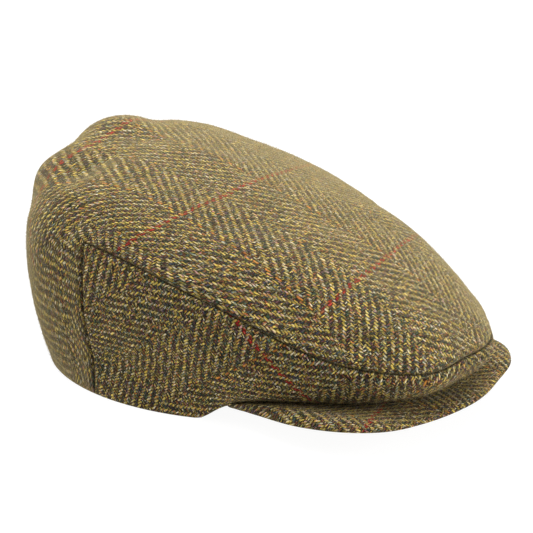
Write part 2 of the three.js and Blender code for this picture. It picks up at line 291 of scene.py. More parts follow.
class PanelPlan:
    """Weave coordinates of a panel over its turns and rings, found on a coarse grid.

    holds tells which turns and rings the panel covers, and start gives a first guess of its plan.
    The plan's zero is at the anchor, and its second coordinate grows towards the point ahead.
    """

    def __init__(self, turns, rings, holds, start, anchor, ahead):
        self.turns, self.rings = turns, rings
        t, r = np.meshgrid(turns, rings, indexing="ij")
        points = crown_surface(t.ravel(), r.ravel())
        index = np.arange(t.size).reshape(t.shape)
        if rings[-1] >= SUMMIT_RING:
            index[:, -1] = index[0, -1]
        self.whole_turn = abs(turns[-1] - turns[0] - 360) < TINY
        if self.whole_turn:
            index[-1] = index[0]
        used, triangles = self.covered(index, holds)
        plan = lay_flat(points[used], triangles, start(points[used], t.ravel()[used]))
        self.grid = np.full((t.size, 2), np.nan)
        self.grid[used] = plan
        self.grid = self.grid[index.ravel()].reshape(t.shape + (2,))
        origin = self.at(*anchor)
        towards = self.at(*ahead) - origin
        towards /= np.linalg.norm(towards)
        turn_matrix = np.array([[towards[1], -towards[0]], [towards[0], towards[1]]])
        self.grid = (self.grid - origin) @ turn_matrix.T

    def covered(self, index, holds):
        """Grid points that the panel uses, and its triangles between them."""
        quads = np.stack([index[:-1, :-1], index[1:, :-1], index[1:, 1:], index[:-1, 1:]], -1)
        middle_turn = (self.turns[:-1] + self.turns[1:]) / 2
        middle_ring = (self.rings[:-1] + self.rings[1:]) / 2
        quads = quads[holds(*np.meshgrid(middle_turn, middle_ring, indexing="ij"))]
        triangles = np.concatenate([quads[:, [0, 1, 2]], quads[:, [0, 2, 3]]])
        whole = (triangles != np.roll(triangles, 1, axis=1)).all(axis=1)
        used, compact = np.unique(triangles[whole], return_inverse=True)
        return used, compact.reshape(-1, 3)

    def at(self, turn, ring):
        """Place on the plan, in metres."""
        turn, ring = np.atleast_1d(turn).astype(float), np.atleast_1d(ring).astype(float)
        if self.whole_turn:
            turn = turn % 360
        x = np.minimum(np.interp(turn, self.turns, np.arange(len(self.turns))),
                       len(self.turns) - 1 - TINY)
        y = np.minimum(np.interp(ring, self.rings, np.arange(len(self.rings))),
                       len(self.rings) - 1 - TINY)
        i, j = x.astype(int), y.astype(int)
        fx, fy = (x - i)[:, None], (y - j)[:, None]
        total, weight = 0, 0
        for di, dj, share in ((0, 0, (1 - fx) * (1 - fy)), (1, 0, fx * (1 - fy)),
                              (0, 1, (1 - fx) * fy), (1, 1, fx * fy)):
            value = self.grid[i + di, j + dj]
            known = ~np.isnan(value[:, :1])
            total = total + np.where(known, value, 0) * share
            weight = weight + known * share
        result = total / np.maximum(weight, TINY)
        return result if len(result) > 1 else result[0]


# Lie of the weave, in millimetres on a panel's plan

TOP_WEAVE_SHIFT = 7
TOP_FRONT_RUN = 77  # over this length the lie changes to that of the front
TOP_BACK_RUN = 84  # and over this one to that of the back
TOP_BOW = 0.0028  # for each square millimetre across
TOP_FRONT_SKEW = 0.16
TOP_FRONT_BOW = 0.0012
TOP_BACK_BOW = 0.004
TOP_DRIFT = 0.1  # how far the lengthwise lines lean at the front
TOP_DRIFT_FROM = 10
TOP_DRIFT_REACH = 60  # beyond this far to the right they don't lean

SIDE_WEAVE_TURN = 23  # degrees
SIDE_WEAVE_SKEW = 0.14
SIDE_WEAVE_SHIFT = (8, 20.6)
SIDE_WEAVE_SPREAD = 0.95


def top_weave(place):
    """Weave of the top panel: its cross lines bow back at the sides, as in the photograph."""
    u, v = place.T
    front = np.clip((TOP_WEAVE_SHIFT - v) / TOP_FRONT_RUN, 0, 1)
    back = np.clip((v - TOP_WEAVE_SHIFT) / TOP_BACK_RUN, 0, 1)
    bow = (1 - front - back) * TOP_BOW * u**2
    bow += front * (TOP_FRONT_SKEW * u + TOP_FRONT_BOW * u**2) + back * TOP_BACK_BOW * u**2
    drift = TOP_DRIFT * np.maximum(0, -v - TOP_DRIFT_FROM)
    drift *= np.clip((u + TOP_DRIFT_REACH) / TOP_DRIFT_REACH, 0, 1)
    return np.stack([u - drift, v - bow - TOP_WEAVE_SHIFT], -1)


def side_weave(side):
    """Weave of a side panel: its cloth lies at an angle to its plan and a little askew."""
    angle = math.radians(-SIDE_WEAVE_TURN * side)
    cos, sin = math.cos(angle), math.sin(angle)

    def settle(place):
        u, v = (place @ np.array([[cos, -sin], [sin, cos]])).T
        v = v - SIDE_WEAVE_SHIFT[1]
        u = u + side * (SIDE_WEAVE_SKEW * v + SIDE_WEAVE_SHIFT[0])
        return np.stack([u * SIDE_WEAVE_SPREAD, v], -1)

    return settle


# Seams and slow waves

SEAM_DEPTH = 1.3 * MM
SEAM_HALF = 0.6 * MM
# Width of the painted shade that darkens the colour along the seams' grooves
SEAM_PAINTED_SHADE_WIDTH = 0.75 * MM
PUFF = 0.6 * MM
PUFF_AT = 4.2 * MM  # from the seam
PUFF_SPREAD = 3.0 * MM
PUFF_RANGE = (0.6, 0.8)  # least share of the puff, and how much more there may be
RING_STEP = 0.02
TURN_STEP = 0.05

# Puckers along the seams: waves in radians a millimetre of x, y and z, and a sway of them
PUCKER_LONG = (0.42, 0, 0.5)
PUCKER_CROSS = (0.2, 0.45, 0)
PUCKER_SWAY = 1.7
PUCKER_SWAY_RATE = 0.2

WAVELENGTHS = [(100, 0.5), (74, 0.45), (54, 0.35), (38, 0.25), (27, 0.16), (18, 0.1)]  # mm, share
WAVES_PER_LENGTH = 3
WAVE_HEIGHT = 0.22 * MM
WAVE_SEED = 11


def seam_distance(turn, ring):
    """Distance along the cloth to the nearest seam, by steps of the surface at that place."""
    turn = (np.asarray(turn, float) + 180) % 360 - 180
    ring = np.asarray(ring, float)
    above = plain_surface(turn, np.clip(ring + RING_STEP, 0, SUMMIT_RING))
    below = plain_surface(turn, np.clip(ring - RING_STEP, 0, SUMMIT_RING))
    ring_length = np.linalg.norm(above - below, axis=1) / (2 * RING_STEP)
    ahead, behind = plain_surface(turn + TURN_STEP, ring), plain_surface(turn - TURN_STEP, ring)
    turn_length = np.linalg.norm(ahead - behind, axis=1) / (2 * TURN_STEP)
    past_turn = np.maximum(0, np.abs(turn) - REAR_SEAM_TURN) * turn_length
    past_ring = np.maximum(0, ring - SEAM_RING) * ring_length
    long_seam = np.hypot(np.abs(ring - SEAM_RING) * ring_length, past_turn)
    rear_seam = np.hypot(np.abs(np.abs(turn) - REAR_SEAM_TURN) * turn_length, past_ring)
    return np.minimum(long_seam, rear_seam)


def random_waves(seed):
    """Waves in random directions: direction and wavelength, phase and size of each."""
    rng = np.random.default_rng(seed)
    return [(rng.normal(size=3) * 2 * math.pi / length, rng.uniform(0, 2 * math.pi), size)
            for length, size in WAVELENGTHS for _ in range(WAVES_PER_LENGTH)]


WAVES = random_waves(WAVE_SEED)


def slow_waves(points):
    total = np.zeros(len(points))
    for direction, phase, size in WAVES:
        total += size * np.sin(points / MM @ direction + phase)
    return total * WAVE_HEIGHT


def puckers(points):
    """Uneven puffing along the seams, from 0 to 1."""
    place = points / MM
    sway = PUCKER_SWAY * np.sin(PUCKER_SWAY_RATE * place[:, 1])
    return 0.5 + 0.5 * np.sin(place @ PUCKER_LONG + sway) * np.cos(place @ PUCKER_CROSS)


def relief(points, nearest):
    """How far the cloth stands off its plain surface, by its distance to the nearest seam."""
    puff = PUFF * (PUFF_RANGE[0] + PUFF_RANGE[1] * puckers(points))
    push = -SEAM_DEPTH * np.exp(-(nearest / SEAM_HALF) ** 2)
    push += puff * np.exp(-((nearest - PUFF_AT) / PUFF_SPREAD) ** 2)
    return push + slow_waves(points)


# Meshes

GRADE_SAMPLES = 4001
GRADE_POWER = 1.2
HEM_FADE = 0.25  # rings above the hem over which the relief fades in


def graded(start, stop, coarse, refined=(), fine=None, spread=None):
    """Steps from start to stop that get finer near the refined values."""
    dense = np.linspace(start, stop, GRADE_SAMPLES)
    size = np.full(len(dense), coarse)
    for value in refined:
        away = np.abs(dense - value) / spread
        size = np.minimum(size, fine + (coarse - fine) * np.clip(away, 0, 1) ** GRADE_POWER)
    steps = (dense[1] - dense[0]) / ((size[1:] + size[:-1]) / 2)
    length = np.concatenate([[0], np.cumsum(steps)])
    count = max(2, int(round(length[-1])))
    return np.interp(np.linspace(0, length[-1], count + 1), length, dense)


def new_object(name, points, faces, material, **values):
    """Piece with smooth faces and its named values at each point."""
    mesh = bpy.data.meshes.new(name)
    mesh.from_pydata(points.tolist(), [], [tuple(int(q) for q in face) for face in faces])
    for key, value in values.items():
        kind, slot = ("FLOAT_VECTOR", "vector") if value.ndim == 2 else ("FLOAT", "value")
        attribute = mesh.attributes.new(key, kind, "POINT")
        attribute.data.foreach_set(slot, value.astype(np.float32).ravel())
    mesh.polygons.foreach_set("use_smooth", [True] * len(mesh.polygons))
    mesh.validate()
    mesh.update()
    piece = bpy.data.objects.new(name, mesh)
    bpy.context.scene.collection.objects.link(piece)
    mesh.materials.append(material)
    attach(piece, "root")
    return piece


def joined_grid(blocks):
    """Turn and ring of each point of neighbouring blocks, and the quads between them."""
    index, turn, ring, quads = {}, [], [], []
    for turns, rings in blocks:
        ids = np.zeros((len(turns), len(rings)), int)
        for i, t in enumerate(turns):
            for j, r in enumerate(rings):
                key = (round((t + 180) % 360, 5), round(r, 6)) if r < SUMMIT_RING else "summit"
                if key not in index:
                    index[key] = len(turn)
                    turn.append(t)
                    ring.append(r)
                ids[i, j] = index[key]
        corners = (ids[:-1, :-1], ids[1:, :-1], ids[1:, 1:], ids[:-1, 1:])
        quads.append(np.stack(corners, -1).reshape(-1, 4))
    return np.array(turn, float), np.array(ring, float), np.concatenate(quads)


def inner_side(base, normal, at_hem):
    """Inner side of the cloth. Where the hem stands on the ground, its edge is cut level."""
    lining = normal.copy()
    lining[at_hem, 2] *= np.clip(base[at_hem, 2] / CLOTH_THICKNESS, 0, 1)
    lining /= np.linalg.norm(lining, axis=1, keepdims=True)
    return base - lining * CLOTH_THICKNESS


def closed_faces(quads, count):
    """Faces of the outer side, and all faces of the body that it makes with the inner side."""
    outside, edges = [], {}
    for quad in quads:
        ids = [q for k, q in enumerate(quad) if q != quad[k - 1]]
        outside.append(tuple(ids))
        for k in range(len(ids)):
            edges[(ids[k - 1], ids[k])] = True
    inside = [tuple(count + q for q in reversed(ids)) for ids in outside]
    rims = [(b, a, count + a, count + b) for a, b in edges if (b, a) not in edges]
    return outside, outside + inside + rims


def cloth(name, blocks, plan, settle, checked, material):
    """Closed body of cloth over blocks of turns and rings, with its relief, edges and inner side.

    settle lays the weave on the plan, and checked tells from the points and the weave how far the
    overcheck shows there. It gives back the outer side's points and faces.
    """
    turn, ring, quads = joined_grid(blocks)
    weave = settle(plan.at(turn, ring) / MM)
    base = crown_surface(turn, ring)
    nearest = seam_distance(turn, ring)
    normal = outward(crown_surface, turn, ring)
    push = relief(base, nearest) * np.clip(ring / HEM_FADE, 0, 1)
    outer = base + normal * push[:, None]
    points = np.concatenate([outer, inner_side(base, normal, ring <= 0)])
    points[:, 2] = np.maximum(points[:, 2], 0)
    outer = points[:len(turn)]
    outside, faces = closed_faces(quads, len(turn))
    # Painted shade along the seams: the colour is darkened where the groove's shade falls, most on
    # the seam itself
    painted_seam_shade = np.exp(-(nearest / SEAM_PAINTED_SHADE_WIDTH) ** 2)
    # The weave's third value carries the painted seam shade on the outer side, and none on the inner
    # side
    place = np.concatenate([
        np.column_stack([weave, painted_seam_shade]), np.column_stack([weave, np.zeros(len(turn))]),
    ])
    overcheck = np.tile(checked(outer, weave), 2)
    piece = new_object(f"{name}_cloth", points, faces, material, weave=place, overcheck=overcheck)
    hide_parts(name)
    return outer, outside


# Node graphs

def srgb(r, g, b):
    def linear(v):
        v /= 255
        return v / 12.92 if v <= 0.04045 else ((v + 0.055) / 1.055) ** 2.4
    return (linear(r), linear(g), linear(b), 1.0)


class Graph:
    """Short calls for adding nodes to a tree."""

    def __init__(self, tree):
        self.tree = tree

    def add(self, kind, **settings):
        node = self.tree.nodes.new(kind)
        for key, value in settings.items():
            setattr(node, key, value)
        return node

    def link(self, value, socket):
        if isinstance(value, bpy.types.NodeSocket):
            self.tree.links.new(value, socket)
        else:
            socket.default_value = value

    def filled(self, node, values, first=0):
        """The node, with the values in its sockets from the first one on."""
        for value, socket in zip(values, node.inputs[first:]):
            self.link(value, socket)
        return node

    def math(self, operation, *values):
        return self.filled(self.add("ShaderNodeMath", operation=operation), values).outputs[0]

    def mix(self, factor, a, b, blend="MIX"):
        """Colour a where the factor is 0, and colour b where it is 1."""
        node = self.add("ShaderNodeMix", data_type="RGBA", blend_type=blend)
        self.link(factor, node.inputs["Factor"])
        return self.filled(node, (a, b), 6).outputs[2]

    def blend(self, factor, a, b):
        """Number a where the factor is 0, and number b where it is 1."""
        node = self.add("ShaderNodeMix", data_type="FLOAT")
        self.link(factor, node.inputs[0])
        return self.filled(node, (a, b), 2).outputs[0]

    def vector(self, x, y=0.0, z=0.0):
        return self.filled(self.add("ShaderNodeCombineXYZ"), (x, y, z)).outputs[0]

    def noise(self, vector, scale, detail=2.0):
        node = self.add("ShaderNodeTexNoise")
        self.link(vector, node.inputs["Vector"])
        node.inputs["Scale"].default_value = scale
        node.inputs["Detail"].default_value = detail
        return node.outputs["Fac"]

    def chance(self, x, y, seed):
        node = self.add("ShaderNodeTexWhiteNoise", noise_dimensions="3D")
        self.link(self.vector(x, y, seed), node.inputs["Vector"])
        return node.outputs["Value"]

    def ramp(self, value, stops):
        node = self.add("ShaderNodeValToRGB")
        node.color_ramp.interpolation = "CONSTANT"
        elements = node.color_ramp.elements
        while len(elements) > 1:
            elements.remove(elements[-1])
        elements[0].position, elements[0].color = stops[0]
        for position, colour in stops[1:]:
            elements.new(position).color = colour
        self.link(value, node.inputs[0])
        return node.outputs[0]


# Herringbone tweed

WARP_PITCH = 1.25  # mm between lengthwise yarns
WEFT_PITCH = 1.6  # mm between crosswise yarns
BAND_YARNS = 24  # warp yarns in one herringbone band
ORANGE_EVERY = 48  # warp yarns between the lengthwise overcheck lines
ORANGE_WIDTH = 1.0
RED_EVERY = 51  # weft yarns between the crosswise overcheck lines
RED_WIDTH = 1.5
LAG = 0.18  # of a weft pitch, how far a warp yarn's floats sit up or down of their place
FLOAT_ROUND = (2.2, 4.0)  # how square a float is, across it and along it
STRAND = 0.4  # mm across a bundle of fibres
STRAND_RUN = 1.5  # mm along it
STRAND_TWIST = 0.3
STRAND_STAGGER = 0.37
STRAY = 0.17  # share of the bundles that stray over from the other yarns
SPECK = 0.35  # how far a bundle's shade may be from its yarn's

# How far the yarns wander: noise scale, size in mm, offset and detail, across and down
WANDER_ACROSS = [(0.1, 1.8, 0, 1.0), (0.7, 0.9, 40, 3.0)]
WANDER_DOWN = [(0.1, 2.2, 90, 1.0), (0.7, 1.1, 70, 3.0)]

# Seeds of the chances
LAG_SEED = 9.0
LIGHT_SEED = 1.0
DARK_SEED = 2.0
BRIGHT_SEED = 3.0
HAIR_SEED = 4.0
STRAY_SEED = 7.0

# How brightness varies: painted shade over a float, by bundle, by yarn, over the cloth, and painted
# shade in the seams
# Painted shade over each float: dark at its edges and in the gaps between floats, lighter than the
# yarn in its middle
FLOAT_PAINTED_SHADING = 1.2
FLOAT_PAINTED_SHADING_POWER = 1.5
STRAND_LIGHT = (0.45, 1.4)
YARN_LIGHT = (0.8, 1.18)
CLOTH_LIGHT = (0.84, 1.16)
CLOTH_MOTTLE = (0.14, 4.0)  # noise scale and detail
# Painted shade in the seams: how much of the colour it takes at a seam's middle, by bundle
SEAM_PAINTED_SHADE_RANGE = (0.62, 1.0)

STRAND_HEIGHT = 0.3  # of a float's height
FLOAT_ROUGHNESS = (1.0, 0.84)

RED_YARN = (srgb(106, 12, 16), srgb(164, 36, 30))
ORANGE_YARN = (srgb(176, 84, 26), srgb(160, 120, 46))
RED_SHOWS = (0.92, 0.1)  # on weft floats and on warp floats
ORANGE_SHOWS = (0.0, 0.8)
LIGHT_YARNS = [
    (0.00, srgb(170, 146, 60)), (0.15, srgb(186, 163, 82)), (0.29, srgb(176, 160, 118)),
    (0.42, srgb(147, 127, 57)), (0.55, srgb(180, 172, 150)), (0.63, srgb(124, 121, 64)),
    (0.74, srgb(166, 120, 66)), (0.82, srgb(152, 84, 44)), (0.86, srgb(112, 124, 112)),
    (0.93, srgb(146, 108, 106)),
]
DARK_YARNS = [
    (0.00, srgb(42, 56, 42)), (0.17, srgb(64, 43, 31)), (0.32, srgb(84, 57, 63)),
    (0.44, srgb(45, 52, 63)), (0.56, srgb(78, 70, 32)), (0.68, srgb(30, 26, 22)),
    (0.78, srgb(102, 66, 36)), (0.86, srgb(58, 79, 67)), (0.94, srgb(96, 45, 32)),
]


def wandered(g, source, value, wanders):
    """Place across or down the weave, with the yarns' slow and quick wander."""
    for scale, size, offset, detail in wanders:
        place = g.add("ShaderNodeVectorMath", operation="ADD")
        g.filled(place, (source, (offset, -offset, 0)))
        sway = g.math("SUBTRACT", g.noise(place.outputs[0], scale, detail), 0.5)
        value = g.math("ADD", value, g.math("MULTIPLY", sway, size))
    return value


def twill(g, u, v):
    """Yarns at a place of the weave: their numbers, the twill's climb, and which lies on top."""
    across = g.math("DIVIDE", u, WARP_PITCH)
    warp = g.math("FLOOR", across)
    lag = g.math("MULTIPLY_ADD", g.chance(warp, 0.0, LAG_SEED), 2 * LAG, -LAG)
    down = g.math("ADD", g.math("DIVIDE", v, WEFT_PITCH), lag)
    weft = g.math("FLOOR", down)
    # every other band climbs the other way
    odd = g.math("FLOORED_MODULO", g.math("FLOOR", g.math("DIVIDE", warp, BAND_YARNS)), 2.0)
    sign = g.math("MULTIPLY_ADD", odd, 2.0, -1.0)
    climb = g.math("ADD", g.math("ADD", weft, g.math("MULTIPLY", warp, sign)),
                   g.math("MULTIPLY", odd, 2.0))
    phase = g.math("FLOORED_MODULO", climb, 4.0)
    return SimpleNamespace(
        u=u, v=v, across=across, down=down, warp=warp, weft=weft, sign=sign, phase=phase,
        warp_up=g.math("LESS_THAN", phase, 2.0),
        number=g.math("FLOOR", g.math("DIVIDE", climb, 2.0)),
    )


def float_dome(g, yarns):
    """Rounded height of the float on top, 0 at its edges and 1 at its middle."""
    part_u = g.math("FRACT", yarns.across)
    part_v = g.math("FRACT", yarns.down)
    # a float is two cells long, and along the weft it runs the way the twill climbs
    half = g.math("FLOORED_MODULO", yarns.phase, 2.0)
    along_warp = g.math("DIVIDE", g.math("ADD", half, part_v), 2.0)
    run_u = g.math("ADD", g.math("MULTIPLY", g.math("SUBTRACT", part_u, 0.5), yarns.sign), 0.5)
    along_weft = g.math("DIVIDE", g.math("ADD", half, run_u), 2.0)
    places = (g.blend(yarns.warp_up, part_v, part_u), g.blend(yarns.warp_up, along_weft, along_warp))
    humps = []
    for place, power in zip(places, FLOAT_ROUND):
        edge = g.math("ABSOLUTE", g.math("MULTIPLY_ADD", place, 2.0, -1.0))
        humps.append(g.math("SUBTRACT", 1.0, g.math("POWER", edge, power)))
    return g.math("SQRT", g.math("MULTIPLY", *humps))


def fibre_bundle(g, yarns):
    """Bundle of fibres at a place: they twist along each yarn. Its number, and its part's."""
    run = g.blend(yarns.warp_up, yarns.u, yarns.v)
    side = g.blend(yarns.warp_up, yarns.v, yarns.u)
    twisted = g.math("MULTIPLY_ADD", run, STRAND_TWIST, side)
    strand = g.math("FLOOR", g.math("DIVIDE", twisted, STRAND))
    step = g.math("DIVIDE", run, STRAND_RUN)
    return strand, g.math("FLOOR", g.math("MULTIPLY_ADD", strand, STRAND_STAGGER, step))


def yarn_colour(g, yarns, bundle, hair):
    """Colour of the heathered yarn that shows: light warp or dark weft, with strays of both."""
    speck = g.math("MULTIPLY_ADD", hair, 2 * SPECK, -SPECK)

    def heather(yarn, seed, shades):
        pick = g.math("ADD", g.chance(yarn, yarns.number, seed), speck)
        return g.ramp(g.math("FLOORED_MODULO", pick, 1.0), shades)

    light = heather(yarns.warp, LIGHT_SEED, LIGHT_YARNS)
    dark = heather(yarns.weft, DARK_SEED, DARK_YARNS)
    stray = g.math("LESS_THAN", g.chance(*bundle, STRAY_SEED), STRAY)
    return g.mix(g.math("ABSOLUTE", g.math("SUBTRACT", yarns.warp_up, stray)), dark, light)


def with_overcheck(g, colour, yarns, hair, overcheck):
    """Colour with the orange lines along the warp and the red lines along the weft over it."""
    for place, every, width, shows, shades in (
        (yarns.across, ORANGE_EVERY, ORANGE_WIDTH, ORANGE_SHOWS, ORANGE_YARN),
        (yarns.down, RED_EVERY, RED_WIDTH, RED_SHOWS, RED_YARN),
    ):
        inside = g.math("LESS_THAN", g.math("FLOORED_MODULO", place, float(every)), width)
        line = g.math("MULTIPLY", inside, overcheck)
        line = g.math("MULTIPLY", line, g.blend(yarns.warp_up, *shows))
        colour = g.mix(line, colour, g.mix(hair, *shades))
    return colour


def herringbone_group():
    """Two-up two-down twill in bands that turn back, with an overcheck, painted shade over each
    float and painted shade along the seams.
    """
    tree = bpy.data.node_groups.new("herringbone_tweed", "ShaderNodeTree")
    for name, way, kind in (
        ("Weave", "INPUT", "Vector"), ("Overcheck", "INPUT", "Float"),
        ("Color", "OUTPUT", "Color"), ("Height", "OUTPUT", "Float"),
        ("Roughness", "OUTPUT", "Float"),
    ):
        tree.interface.new_socket(name, in_out=way, socket_type=f"NodeSocket{kind}")
    g = Graph(tree)
    given = g.add("NodeGroupInput").outputs
    output = g.add("NodeGroupOutput").inputs
    weave = given["Weave"]
    # The weave's third value is the painted shade along the seams
    u, v, seam = g.filled(g.add("ShaderNodeSeparateXYZ"), (weave,)).outputs
    u = wandered(g, weave, u, WANDER_ACROSS)
    v = wandered(g, weave, v, WANDER_DOWN)
    yarns = twill(g, u, v)
    dome = float_dome(g, yarns)
    bundle = fibre_bundle(g, yarns)
    hair = g.chance(*bundle, HAIR_SEED)
    colour = yarn_colour(g, yarns, bundle, hair)
    colour = with_overcheck(g, colour, yarns, hair, given["Overcheck"])
    yarn_on_top = g.blend(yarns.warp_up, yarns.weft, yarns.warp)
    # Painted shade over the float: black at its edges, brightest on its crown
    shade = g.blend(g.math("POWER", dome, FLOAT_PAINTED_SHADING_POWER), 0.0, FLOAT_PAINTED_SHADING)
    for light in (
        g.blend(g.chance(*bundle, BRIGHT_SEED), *STRAND_LIGHT),
        g.blend(g.chance(yarn_on_top, yarns.number, BRIGHT_SEED), *YARN_LIGHT),
        g.blend(g.noise(weave, *CLOTH_MOTTLE), *CLOTH_LIGHT),
        # painted shade in the seams' grooves
        g.math("SUBTRACT", 1.0, g.math("MULTIPLY", seam, g.blend(hair, *SEAM_PAINTED_SHADE_RANGE))),
    ):
        shade = g.math("MULTIPLY", shade, light)
    # The yarn's colour times the painted float and seam shade and the random tones of bundle, yarn
    # and cloth
    colour = g.mix(1.0, colour, g.vector(shade, shade, shade), "MULTIPLY")
    g.link(colour, output["Color"])
    g.link(g.math("ADD", dome, g.math("MULTIPLY", hair, STRAND_HEIGHT)), output["Height"])
    g.link(g.blend(dome, *FLOAT_ROUGHNESS), output["Roughness"])
    return tree


# Materials

# Share of the weave that the nap hides where the cloth is seen edge on
TOP_VEIL = 0.74
SIDE_VEIL = 0.2
PEAK_VEIL = 0.1
VEIL_POWER = 2.6
NAP_SHADE = srgb(130, 116, 78)
TOP_SHEEN = 0.2
LOW_SHEEN = 0.1
SHEEN_ROUGHNESS = 0.5
SHEEN_SHADE = srgb(226, 214, 170)
WOOL_SPECULAR = 0.1
BUMP_STRENGTH = 0.9
BUMP_HEIGHT = 0.45 * MM
FIBRE_ROUGHNESS = 0.8
FIBRE_SHADES = [
    (0.0, srgb(196, 178, 120)), (0.3, srgb(200, 192, 160)), (0.5, srgb(150, 134, 80)),
    (0.66, srgb(110, 112, 84)), (0.8, srgb(176, 128, 74)), (0.9, srgb(90, 72, 58)),
]
FLOOR_SHADES = ((0.09, 0.09, 0.09, 1), (0.1, 0.1, 0.1, 1))
FLOOR_MOTTLE = 3.0
FLOOR_ROUGHNESS = 0.9
FLOOR_GLOW = 0.94
WHITE = (1, 1, 1, 1)

WEAVE = herringbone_group()


def new_material(name):
    material = bpy.data.materials.new(name)
    material.use_nodes = True
    shader = material.node_tree.nodes["Principled BSDF"]
    return material, Graph(material.node_tree), shader.inputs


def tweed_material(name, veil_share, sheen):
    material, g, shader = new_material(name)
    group = g.add("ShaderNodeGroup", node_tree=WEAVE)
    for key, output, socket in (("weave", "Vector", "Weave"), ("overcheck", "Fac", "Overcheck")):
        attribute = g.add("ShaderNodeAttribute", attribute_name=key)
        g.link(attribute.outputs[output], group.inputs[socket])
    facing = g.add("ShaderNodeLayerWeight").outputs["Facing"]
    veil = g.math("MULTIPLY", g.math("POWER", facing, VEIL_POWER), veil_share)
    g.link(g.mix(veil, group.outputs["Color"], NAP_SHADE), shader["Base Color"])
    g.link(group.outputs["Roughness"], shader["Roughness"])
    bump = g.add("ShaderNodeBump")
    bump.inputs["Strength"].default_value = BUMP_STRENGTH
    bump.inputs["Distance"].default_value = BUMP_HEIGHT
    g.link(group.outputs["Height"], bump.inputs["Height"])
    g.link(bump.outputs[0], shader["Normal"])
    shader["Specular IOR Level"].default_value = WOOL_SPECULAR
    shader["Sheen Weight"].default_value = sheen
    shader["Sheen Roughness"].default_value = SHEEN_ROUGHNESS
    shader["Sheen Tint"].default_value = SHEEN_SHADE
    return material


def nap_material():
    material, g, shader = new_material("wool_nap")
    pick = g.add("ShaderNodeAttribute", attribute_name="shade").outputs["Fac"]
    g.link(g.ramp(pick, FIBRE_SHADES), shader["Base Color"])
    shader["Roughness"].default_value = FIBRE_ROUGHNESS
    shader["Specular IOR Level"].default_value = WOOL_SPECULAR
    return material


def floor_material():
    material, g, shader = new_material("pale_floor")
    place = g.add("ShaderNodeTexCoord").outputs["Object"]
    g.link(g.mix(g.noise(place, FLOOR_MOTTLE), *FLOOR_SHADES), shader["Base Color"])
    shader["Roughness"].default_value = FLOOR_ROUGHNESS
    shader["Emission Color"].default_value = WHITE
    shader["Emission Strength"].default_value = FLOOR_GLOW
    return material


TOP_TWEED = tweed_material("top_tweed", TOP_VEIL, TOP_SHEEN)
SIDE_TWEED = tweed_material("side_tweed", SIDE_VEIL, LOW_SHEEN)
PEAK_TWEED = tweed_material("peak_tweed", PEAK_VEIL, LOW_SHEEN)
NAP = nap_material()


# Crown panels

SIDE_STEP = 1.3  # degrees
BACK_STEP = 1.6
LOWER_STEP = 0.075  # rings
UPPER_STEPS = [(SEAM_RING, 4, 0.045), (4, 5, 0.035), (5, SUMMIT_RING, 0.05)]
FINE_TURNS = (0.3, 5)  # degrees: step beside a rear seam, and how far it spreads
FINE_RINGS = (0.012, 0.22)  # the same for the long seam, in rings
TOP_PLAN_GRID = (91, 25)
SIDE_PLAN_GRID = (35, 13)
TOP_ANCHOR, TOP_AHEAD = (0, 5.2), (0, 5.9)  # turn and ring
SIDE_ANCHOR, SIDE_AHEAD = (58, 1.9), (50, 2.5)
DROP_SHARE = 0.8
SIDE_PLAN_RADIUS = 130 * MM
TOP_CHECK_FROM = 60 * MM  # height from which the overcheck shows on the top panel
TOP_CHECK_FADE = 8 * MM
SIDE_CHECK_FROM = -40  # mm of weave from which it shows on a side panel
SIDE_CHECK_FADE = 10

side_turns = graded(0, REAR_SEAM_TURN, SIDE_STEP, (REAR_SEAM_TURN,), *FINE_TURNS)


def top_plan_start(points, turn):
    """First guess for the top panel: about the way from the summit down, by direction."""
    x, y = points[:, 0], points[:, 1] - SUMMIT_Y
    plan = np.hypot(x, y)
    drop = np.maximum(0, CROWN_HEIGHT - points[:, 2])
    way = np.hypot(plan, DROP_SHARE * drop) + (1 - DROP_SHARE) * drop
    return np.stack([x, y], -1) / np.maximum(plan, TINY)[:, None] * way[:, None]


def side_plan_start(points, turn):
    """First guess for a side panel: length round the crown, and height."""
    return np.stack([np.radians(turn) * SIDE_PLAN_RADIUS, points[:, 2]], -1)


def top_panel():
    last_turn = 360 - REAR_SEAM_TURN
    columns, rows = TOP_PLAN_GRID
    plan = PanelPlan(
        np.linspace(0, 360, columns), np.linspace(0, SUMMIT_RING, rows),
        lambda t, r: (r > SEAM_RING) | ((t > REAR_SEAM_TURN) & (t < last_turn)),
        top_plan_start, TOP_ANCHOR, TOP_AHEAD,
    )
    front = np.concatenate([-side_turns[:0:-1], side_turns])
    back = graded(REAR_SEAM_TURN, last_turn, BACK_STEP, (REAR_SEAM_TURN, last_turn), *FINE_TURNS)
    upper = [np.array([SEAM_RING])]
    for start, stop, step in UPPER_STEPS:
        beside_seam = (SEAM_RING,) if start == SEAM_RING else ()
        upper.append(graded(start, stop, step, beside_seam, *FINE_RINGS)[1:])
    upper = np.concatenate(upper)
    blocks = [(front, upper), (back, upper), (back, graded(0, SEAM_RING, LOWER_STEP))]
    return cloth(
        "top_panel", blocks, plan, top_weave,
        lambda points, weave: np.clip((points[:, 2] - TOP_CHECK_FROM) / TOP_CHECK_FADE, 0, 1),
        TOP_TWEED,
    )


